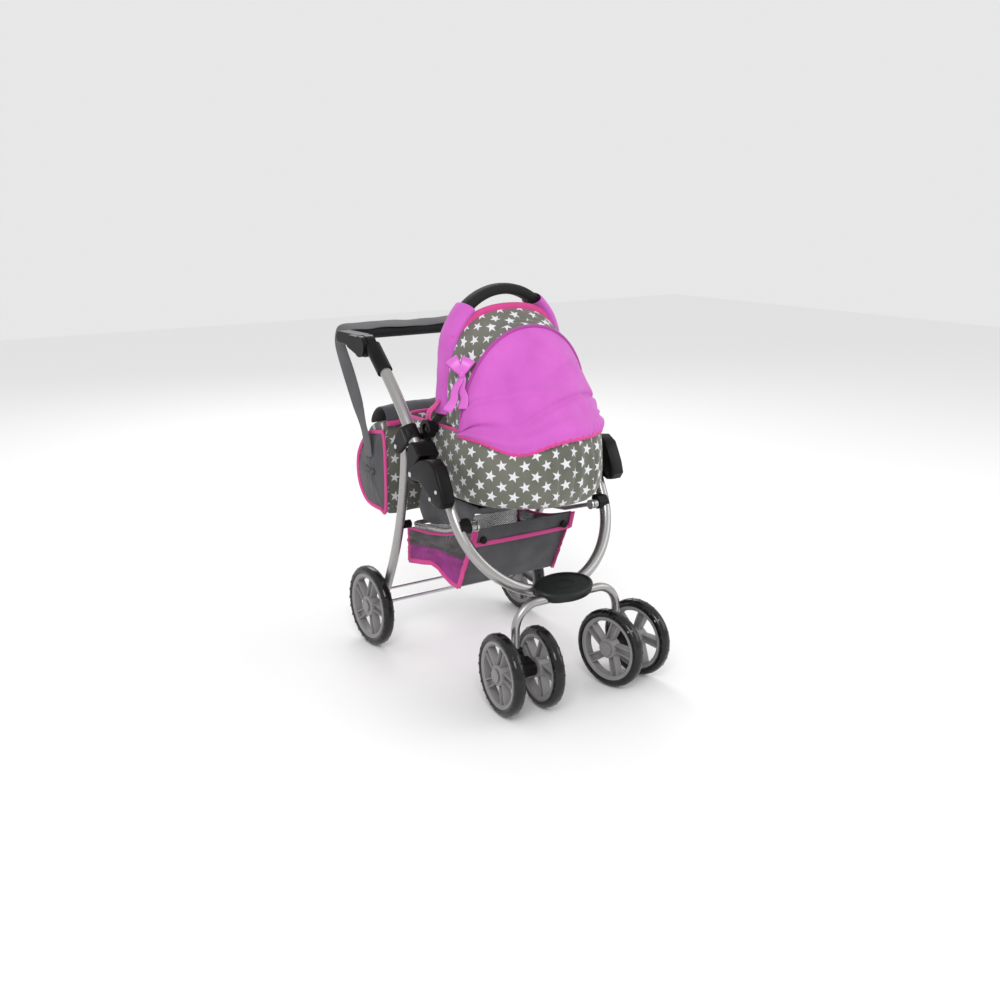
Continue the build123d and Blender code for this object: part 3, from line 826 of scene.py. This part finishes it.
def swept_rings(line, rounding, section):
    """Rings round a line that stays in its own plane across the stroller.

    section(i, k, turn) gives the reach fore and aft and the reach across, for corner k of ring i, at turn round it.
    """
    fore = Vector((0, 1, 0))
    rows = []
    for i, point in enumerate(line):
        run = (line[min(i + 1, len(line) - 1)] - line[max(i - 1, 0)]).normalized()
        across = run.cross(fore).normalized()
        ring = []
        for k in range(rounding):
            reach_fore, reach_across = section(i, k, 2 * math.pi * k / rounding)
            ring.append(point + fore * reach_fore + across * reach_across)
        rows.append(ring)
    return rows


def handle_point(turn, out=0.0):
    """Centre line of the carry handle; turn goes from 0 at the left foot to pi at the right."""
    low = 0.130
    half = 0.118 + out
    x = half * math.cos(turn)
    rise = low + (HANDLE_TOP - low + out) * math.sin(turn)
    return Vector((x, HUB_Y - 0.04 * rise, HUB_Z + rise))


def sleeves():
    """Cloth sleeves round the legs of the carry handle."""
    for side, sign in LEFT_AND_RIGHT:
        points = []
        for i in range(26):
            share = i / 25
            if share < 0.5:
                height = 0.026 + 0.104 * share / 0.5
                half = 0.1235 - 0.0055 * smoothstep(0.02, 0.13, height)
                point = Vector((half, HUB_Y - 0.04 * height, HUB_Z + height))
            else:
                point = handle_point((share - 0.5) / 0.5 * math.radians(48 if sign < 0 else 55))
            points.append(Vector((sign * point.x, point.y, point.z)))

        def sleeve_section(i, k, turn):
            share = i / 25
            half = 0.0265 - 0.004 * smoothstep(0.5, 0.0, share) + 0.003 * smoothstep(0.8, 1.0, share)
            swell = 1 + 0.07 * ripple(k * 0.02, share * 3, sign, 6, 4.0)
            depth = 0.013 + 0.0015 * smoothstep(0.5, 0.1, share) + 0.002 * ripple(share * 9, k * 0.1, sign, 1, 1.0)
            return half * swell * math.cos(turn), depth * math.sin(turn)

        sleeve = cloth_grid(f"handle_sleeve_cloth_{side}", swept_rings(points, 28, sleeve_section), closed=True)
        thicken(sleeve, CLOTH_THICK)
        if side == "right":
            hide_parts("handle_sleeves")
        finish_piece(sleeve, ORCHID, "carry_handle")


def carry_handle():
    """Black padded handle: a flat oval section swept over the arch and down to the cot's hubs."""
    leg = [(0.1490, 0.000), (0.1480, 0.009), (0.1380, 0.018), (0.1285, 0.030), (0.1235, 0.055), (0.1200, 0.094)]
    left = [Vector((x, HUB_Y - 0.04 * height, HUB_Z + height)) for x, height in leg]
    line = left + [handle_point(math.pi * i / 60) for i in range(61)]
    line += [Vector((-point.x, point.y, point.z)) for point in reversed(left)]

    def grip_section(i, k, turn):
        slim = 0.3 + 0.7 * smoothstep(0.02, 0.08, line[i].z - HUB_Z)
        c, s = math.cos(turn), math.sin(turn)
        return (0.0165 * (0.6 + 0.4 * slim) * math.copysign(abs(c) ** 0.7, c),
                0.0102 * slim * math.copysign(abs(s) ** 0.8, s))

    piece = cloth_grid("carry_handle_grip", swept_rings(line, 20, grip_section), closed=True)
    mend(piece, hole_sides=20)
    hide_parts("carry_handle")
    finish_piece(piece, FOAM, "carry_handle")


def folded_corner():
    """Hot-pink folded corner below the right sleeve."""
    points = [Vector((-0.1365 - 0.0185 * smoothstep(0, 5, i), 0.004 + 0.012 * i / 9, 0.532 - 0.045 * i / 9))
              for i in range(10)]
    piece = strip_along("folded_corner", points, lambda i: 0.014 + 0.018 * i / 9, (0.2, 1, 0.1), 0.003)
    finish_piece(piece, HOT_PINK, "carry_handle")


def ribbon_bow():
    """Satin bow with two loops and two tails, tied on the front of the right sleeve."""
    knot_at = Vector((-0.1335, -0.071, 0.588))
    across, outward, up = Vector((0.826, -0.563, 0)), Vector((-0.544, -0.80, 0.26)), Vector((0.14, 0.2, 0.97))
    for name, lean, length in (("right", across * 0.4 + up * 0.85, 0.030), ("left", up * 0.8 - across * 0.6, 0.033)):
        lean = lean.normalized()
        points = []
        for i in range(25):
            turn = 2 * math.pi * i / 24
            points.append(knot_at + lean * length * (1 - math.cos(turn)) / 2
                          + outward * (0.008 * math.sin(turn) + 0.006))
        loop = strip_along(f"ribbon_loop_{name}", points, lambda i: 0.008 + 0.019 * math.sin(math.pi * i / 24) ** 1.3,
                           outward.cross(lean), 0.0014)
        finish_piece(loop, SATIN, "hood")
    for name, lean, length in (("right", 0.004, 0.062), ("left", -0.024, 0.066)):
        points = [knot_at + across * (lean * i / 14 + 0.002 * math.sin(i * 0.8)) - up * length * i / 14
                  + outward * (0.004 + 0.002 * math.sin(i * 0.6)) for i in range(15)]
        tail = strip_along(f"ribbon_tail_{name}", points, lambda i: 0.009 + 0.011 * i / 14,
                           across + outward * 0.3, 0.0012)
        finish_piece(tail, SATIN, "hood")
    deselect()
    bpy.ops.mesh.primitive_uv_sphere_add(segments=20, ring_count=12, radius=0.0075, location=knot_at + outward * 0.005)
    knot = bpy.context.object
    knot.name = "ribbon_knot"
    knot.scale = (0.9, 0.9, 1.1)
    bpy.ops.object.transform_apply(location=True, rotation=True, scale=True)
    finish_piece(knot, SATIN, "hood")
    deselect()


# ---- bag
def bag_profile(share, inset=0.0):
    """Side outline of the bag, once round from the bottom front corner up the front face."""
    corners = [(0.190, 0.286), (0.190, 0.446), (0.214, 0.460), (0.258, 0.444),
               (0.294, 0.392), (0.296, 0.330), (0.266, 0.285), (0.215, 0.2765)]
    number = share * len(corners)
    i = int(number) % len(corners)
    near = [Vector(corners[(i + k) % len(corners)]) for k in (-1, 0, 1, 2)]
    point = curve_through(*near, number - int(number))
    return point + (BAG_MIDDLE - point).normalized() * inset


def gusset_profile(share, inset=0.0):
    """Outline of the bag's grey end panel, shorter than the bag itself."""
    y, z = bag_profile(share, inset)
    return 0.1885 + (y - 0.19) * 1.08, 0.279 + (z - 0.2765) * 0.87


def bag():
    """Star-cloth bag with grey end panels bound in pink, and a grey flap over its top."""
    steps, across = 72, 30
    rows = []
    for j in range(across + 1):
        x = bag_low[0] + (bag_high[0] - bag_low[0]) * j / across
        edge = 1 - abs(2 * j / across - 1)
        row = []
        for k in range(steps):
            y, z = bag_profile(k / steps, 0.003 * (1 - smoothstep(0, 0.25, edge)))
            swell = ripple(x, y, z, 14, 6.0) * 0.0045 + ripple(x, y, z, 38, 1.0) * 0.0016
            push = (Vector((y, z)) - BAG_MIDDLE).normalized() * swell
            row.append(Vector((x, y + push.x, z + push.y)))
        rows.append(row)
    body = cloth_grid("bag_star_panel", [list(column) for column in zip(*rows)] + [[row[0] for row in rows]])
    mend(body, merge=1e-6, hole_sides=steps + 1, outwards=False)
    apply_modifier(body, "SUBSURF", levels=1, render_levels=1)
    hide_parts("bag_body")
    finish_piece(body, STARS, "bag")
    for side, sign, edge_x in (("left", 1, bag_high[0]), ("right", -1, bag_low[0])):
        gusset_rows = []
        for inset, bulge in ((0.004, 0.0), (0.016, 0.003), (0.04, 0.006), (0.065, 0.007), (0.088, 0.0075)):
            gusset_rows.append([Vector((edge_x + sign * (bulge + 0.003 * ripple(k * 0.02, inset * 6, sign, 9)),
                                        *gusset_profile(k / steps, inset))) for k in range(steps)])
        gusset = cloth_grid(f"bag_gusset_{side}", gusset_rows, closed=True)
        mend(gusset, hole_sides=steps + 1, outwards=False,
             hole_edge=lambda edge: all((corner.co.yz - BAG_MIDDLE).length < 0.06 for corner in edge.verts))
        apply_modifier(gusset, "SUBSURF", levels=1, render_levels=1)
        finish_piece(gusset, GREY_CLOTH, "bag")
        line = [Vector((edge_x + sign * 0.001, *gusset_profile(k / 90, 0.001))) for k in range(90)]
        binding = strip_along(f"bag_binding_{side}", line, 0.006, (1, 0, 0), 0.0085, 10, closed=True)
        finish_piece(binding, HOT_PINK, "bag")
    flap_rows = []
    curve = [(0.250, 0.448), (0.245, 0.466), (0.228, 0.484), (0.208, 0.490), (0.193, 0.486), (0.184, 0.474),
             (0.182, 0.461)]
    for y, z in curve:
        row = []
        for j in range(41):
            x = -0.150 + 0.300 * j / 40
            wave = 0.004 * ripple(x, y, z, 18, 8.0) + 0.002 * ripple(x, y, z, 45, 3.0)
            row.append(Vector((x, y - wave * 0.5, z + wave + 0.006 * math.sin(math.pi * j / 40))))
        flap_rows.append(row)
    flap = cloth_grid("bag_flap", flap_rows)
    thicken(flap, 0.003)
    finish_piece(flap, GREY_CLOTH, "bag")
    lip = [flap_rows[-1][j] + Vector((0, -0.0006, -0.0025)) for j in range(41)]
    lip_tape = strip_along("bag_flap_tape", lip, 0.010, (0, 0.1, 1), 0.0045, 8)
    finish_piece(lip_tape, HOT_PINK, "bag")


def bag_strap():
    """Webbing strap over the crossbar and down both ends to the gussets."""
    points = []
    for sign in (-1, 1):
        side = []
        for y, z, x in ((0.236, 0.385, 0.1640), (0.240, 0.415, 0.1645), (0.252, 0.450, 0.166), (0.272, 0.500, 0.169),
                        (0.289, 0.553, 0.176), (0.300, 0.597, 0.184), (0.303, 0.618, 0.186), (0.303, 0.634, 0.181),
                        (0.302, 0.6400, 0.168), (0.300, 0.6405, 0.150)):
            side.append(Vector((sign * x, y, z)))
        points.append(side)
    top = [Vector((-0.13 + 0.26 * i / 12, 0.2985 + 0.0015 * math.sin(i * 1.3), 0.6402 + 0.0012 * math.sin(i * 0.8)))
           for i in range(13)]
    line = points[0] + top + points[1][::-1]
    smooth = []
    for i in range(len(line) - 1):
        near = line[max(i - 1, 0)], line[i], line[i + 1], line[min(i + 2, len(line) - 1)]
        smooth += [curve_through(*near, step / 4) for step in range(4)]
    smooth.append(line[-1])

    def flat(i):
        point = smooth[i]
        hanging = smoothstep(0.636, 0.60, point.z)
        turned = math.copysign(0.45, point.x) * hanging * smoothstep(0.44, 0.50, point.z)
        return Vector((turned, 1, 0.42 * (1 - hanging)))

    strap = strip_along("bag_strap_webbing", smooth, lambda i: 0.029 + 0.002 * math.sin(i * 0.5), flat, 0.0024, 12)
    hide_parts("bag_strap")
    finish_piece(strap, WEBBING, "bag")
    for side, sign in LEFT_AND_RIGHT:
        loop = [Vector((sign * (0.1605 + 0.0022 * math.sin(math.pi * i / 10)), 0.236 + 0.030 * i / 10, 0.412))
                for i in range(11)]
        keeper = strip_along(f"strap_keeper_{side}", loop, 0.009, (0, 0, 1), 0.0022)
        finish_piece(keeper, WEBBING, "bag")


# ---- basket and sling
FRONT_SKEW = 0.004                         # the front panel's low edge stops short on the left


def panel(name, corners, columns, rows_count, sag, finish, body, seed, thick):
    """A sewn panel between four corners, given front-left to back-left round; sag is along its own normal."""
    a, b, c, d = (Vector(corner) for corner in corners)
    normal = (b - a).cross(d - a).normalized()

    def place(u, v):
        point = a.lerp(b, u).lerp(d.lerp(c, u), v)
        inner = math.sin(math.pi * u) * math.sin(math.pi * v)
        push = sag * inner + 0.006 * ripple(*point, 20, seed) * min(inner * 3, 1)
        return point + normal * push

    piece = cloth_grid(name, rows_of(rows_count, columns, place))
    thicken(piece, thick)
    finish_piece(piece, finish, body)
    return piece


def tape(name, points, width, side):
    """Pink tape sewn along an edge of the basket."""
    piece = strip_along(name, [Vector(point) for point in points], width, side, 0.0034, 8)
    return finish_piece(piece, HOT_PINK, "basket")


def basket():
    """Open basket: a grey front with a turned-down flap, mesh floor, back and sides, and pink tape on the edges."""
    front_half, back_half = 0.1125, 0.134
    top_front, low_front = (-0.0745, 0.295), (-0.0155, 0.1685)
    low_bend, low_back, top_back = (0.052, 0.199), (0.134, 0.187), (0.132, 0.256)

    lip_y, lip_z = -0.0655, 0.2655
    flap_y, flap_top = lip_y - 0.004, (top_front[0] - 0.003, top_front[1] + 0.003)
    bend_half = 0.124
    for name, low, low_half, high, high_half, columns, rows_count, sag, finish, seed, thick in (
            ("front", low_front, front_half, top_front, front_half, 40, 20, 0.006, GREY_CLOTH, 1.0, 0.002),
            ("front_flap", (flap_y, lip_z), front_half, flap_top, front_half, 40, 8, 0.003, GREY_CLOTH, 4.0, 0.002),
            ("floor", low_front, front_half, low_bend, bend_half, 30, 14, -0.003, MAGENTA_NET, 2.0, 0.0012),
            ("floor_back", low_bend, bend_half, low_back, back_half, 30, 10, -0.003, MAGENTA_NET, 3.0, 0.0012),
            ("back", low_back, back_half, top_back, back_half, 30, 8, 0.003, GREY_NET, 5.0, 0.0012)):
        low_right = low_half - (FRONT_SKEW if name == "front" else 0)
        made = panel(f"basket_{name}", [(-low_half, *low), (low_right, *low), (high_half, *high), (-high_half, *high)],
                     columns, rows_count, sag, finish, "basket", seed, thick)
        if name == "front":
            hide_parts("basket_shell", "basket_snaps")
    low_line = [low_front, (0.004, 0.172), (0.022, 0.182), (0.040, 0.195), (0.060, 0.200), (0.090, 0.194), low_back]
    for side, sign in LEFT_AND_RIGHT:
        def side_place(u, v):
            half = front_half + (back_half - front_half) * u
            y = top_front[0] + (top_back[0] - top_front[0]) * u
            top = top_front[1] + (top_back[1] - top_front[1]) * u - 0.010 * math.sin(math.pi * u)
            foot = along_line(low_line, u)
            bow = 0.005 * math.sin(math.pi * u) * math.sin(math.pi * v)
            bow += 0.003 * ripple(y, top * 3, v, 14, 2.0) * math.sin(math.pi * v)
            return Vector((sign * (half - bow), y + (foot.x - y) * v, top + (foot.y - top) * v))

        rows = rows_of(18, 30, side_place)
        for part, net_cloth, first, last in (("upper", GREY_NET, 0, 9), ("lower", MAGENTA_NET, 9, 18)):
            side_panel = cloth_grid(f"basket_side_{part}_{side}", rows[first:last + 1])
            thicken(side_panel, 0.001, smooth_levels=0)
            finish_piece(side_panel, net_cloth, "basket")
        tape(f"basket_low_tape_{side}", rows[-1], 0.010, (0, 0, 1))
        tape(f"basket_top_tape_{side}", rows[0], 0.006, (0, 0, 1))
        tape(f"basket_front_tape_{side}", [row[0] + Vector((0, -0.002, 0)) for row in rows], 0.011,
             (sign * 0.3, 1, 0.4))
        tape(f"basket_back_tape_{side}", [row[-1] for row in rows], 0.009, (0, 1, 0))
    edge = [Vector((-front_half + 2 * front_half * i / 40, lip_y - 0.006 - 0.003 * math.sin(math.pi * i / 40), lip_z))
            for i in range(41)]
    tape("flap_low_tape", edge, 0.010, (0, -0.35, 1))
    for side, sign in LEFT_AND_RIGHT:
        edge = [(sign * front_half, lip_y - 0.006 - 0.010 * i / 10, lip_z - 0.002 + 0.034 * i / 10) for i in range(11)]
        tape(f"flap_side_tape_{side}", edge, 0.011, (1, 0, 0))
        snap = disc(f"snap_button_{side}", 32, 0.0072, 0.006, (sign * 0.094, lip_y - 0.0115, 0.2745),
                    (math.radians(72), 0, 0), 0.0018, 3)
        finish_piece(snap, BLACK, "basket")


def seat_sling():
    """Slung seat cloth between the frame's sides, with a loose curtain down each side."""
    low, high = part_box("seat_sling")

    def seat_place(u, v):
        x = low[0] + (high[0] - low[0]) * u
        y = low[1] + (high[1] - low[1]) * v
        drop = max(math.sin(math.pi * v), 0) ** 0.6 * (0.6 + 0.4 * math.sin(math.pi * u))
        z = high[2] - 0.002 - 0.036 * drop + 0.004 * ripple(x, y, 0, 16, 7.0) * math.sin(math.pi * v)
        return Vector((x, y, z))

    sling = cloth_grid("sling_cloth", rows_of(32, 40, seat_place))
    thicken(sling, 0.003)
    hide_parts("seat_sling")
    finish_piece(sling, GREY_CLOTH, "front_frame")
    foot_line = [(-0.098, 0.322), (-0.060, 0.309), (0.0, 0.292), (0.045, 0.281), (0.085, 0.281), (0.100, 0.292)]
    top = 0.346
    for side, sign in LEFT_AND_RIGHT:
        def curtain_place(u, v):
            y, foot = along_line(foot_line, u)
            fold = 0.004 * math.sin(y * 70 + v * 3) * v + 0.004 * ripple(y, v * 0.2, sign, 20) * (1 - v)
            return Vector((sign * (0.118 + 0.008 * math.sin(math.pi * v * 0.7) + fold), y, top + (foot - top) * v))

        curtain = cloth_grid(f"sling_curtain_{side}", rows_of(14, 36, curtain_place))
        thicken(curtain, 0.002)
        finish_piece(curtain, GREY_CLOTH, "front_frame")


studio()
finish_cad_nodes()
wheels()
hinge_shells()
cot()
hood()
drape()
carry_handle()
sleeves()
folded_corner()
ribbon_bow()
bag()
bag_strap()
basket()
seat_sling()
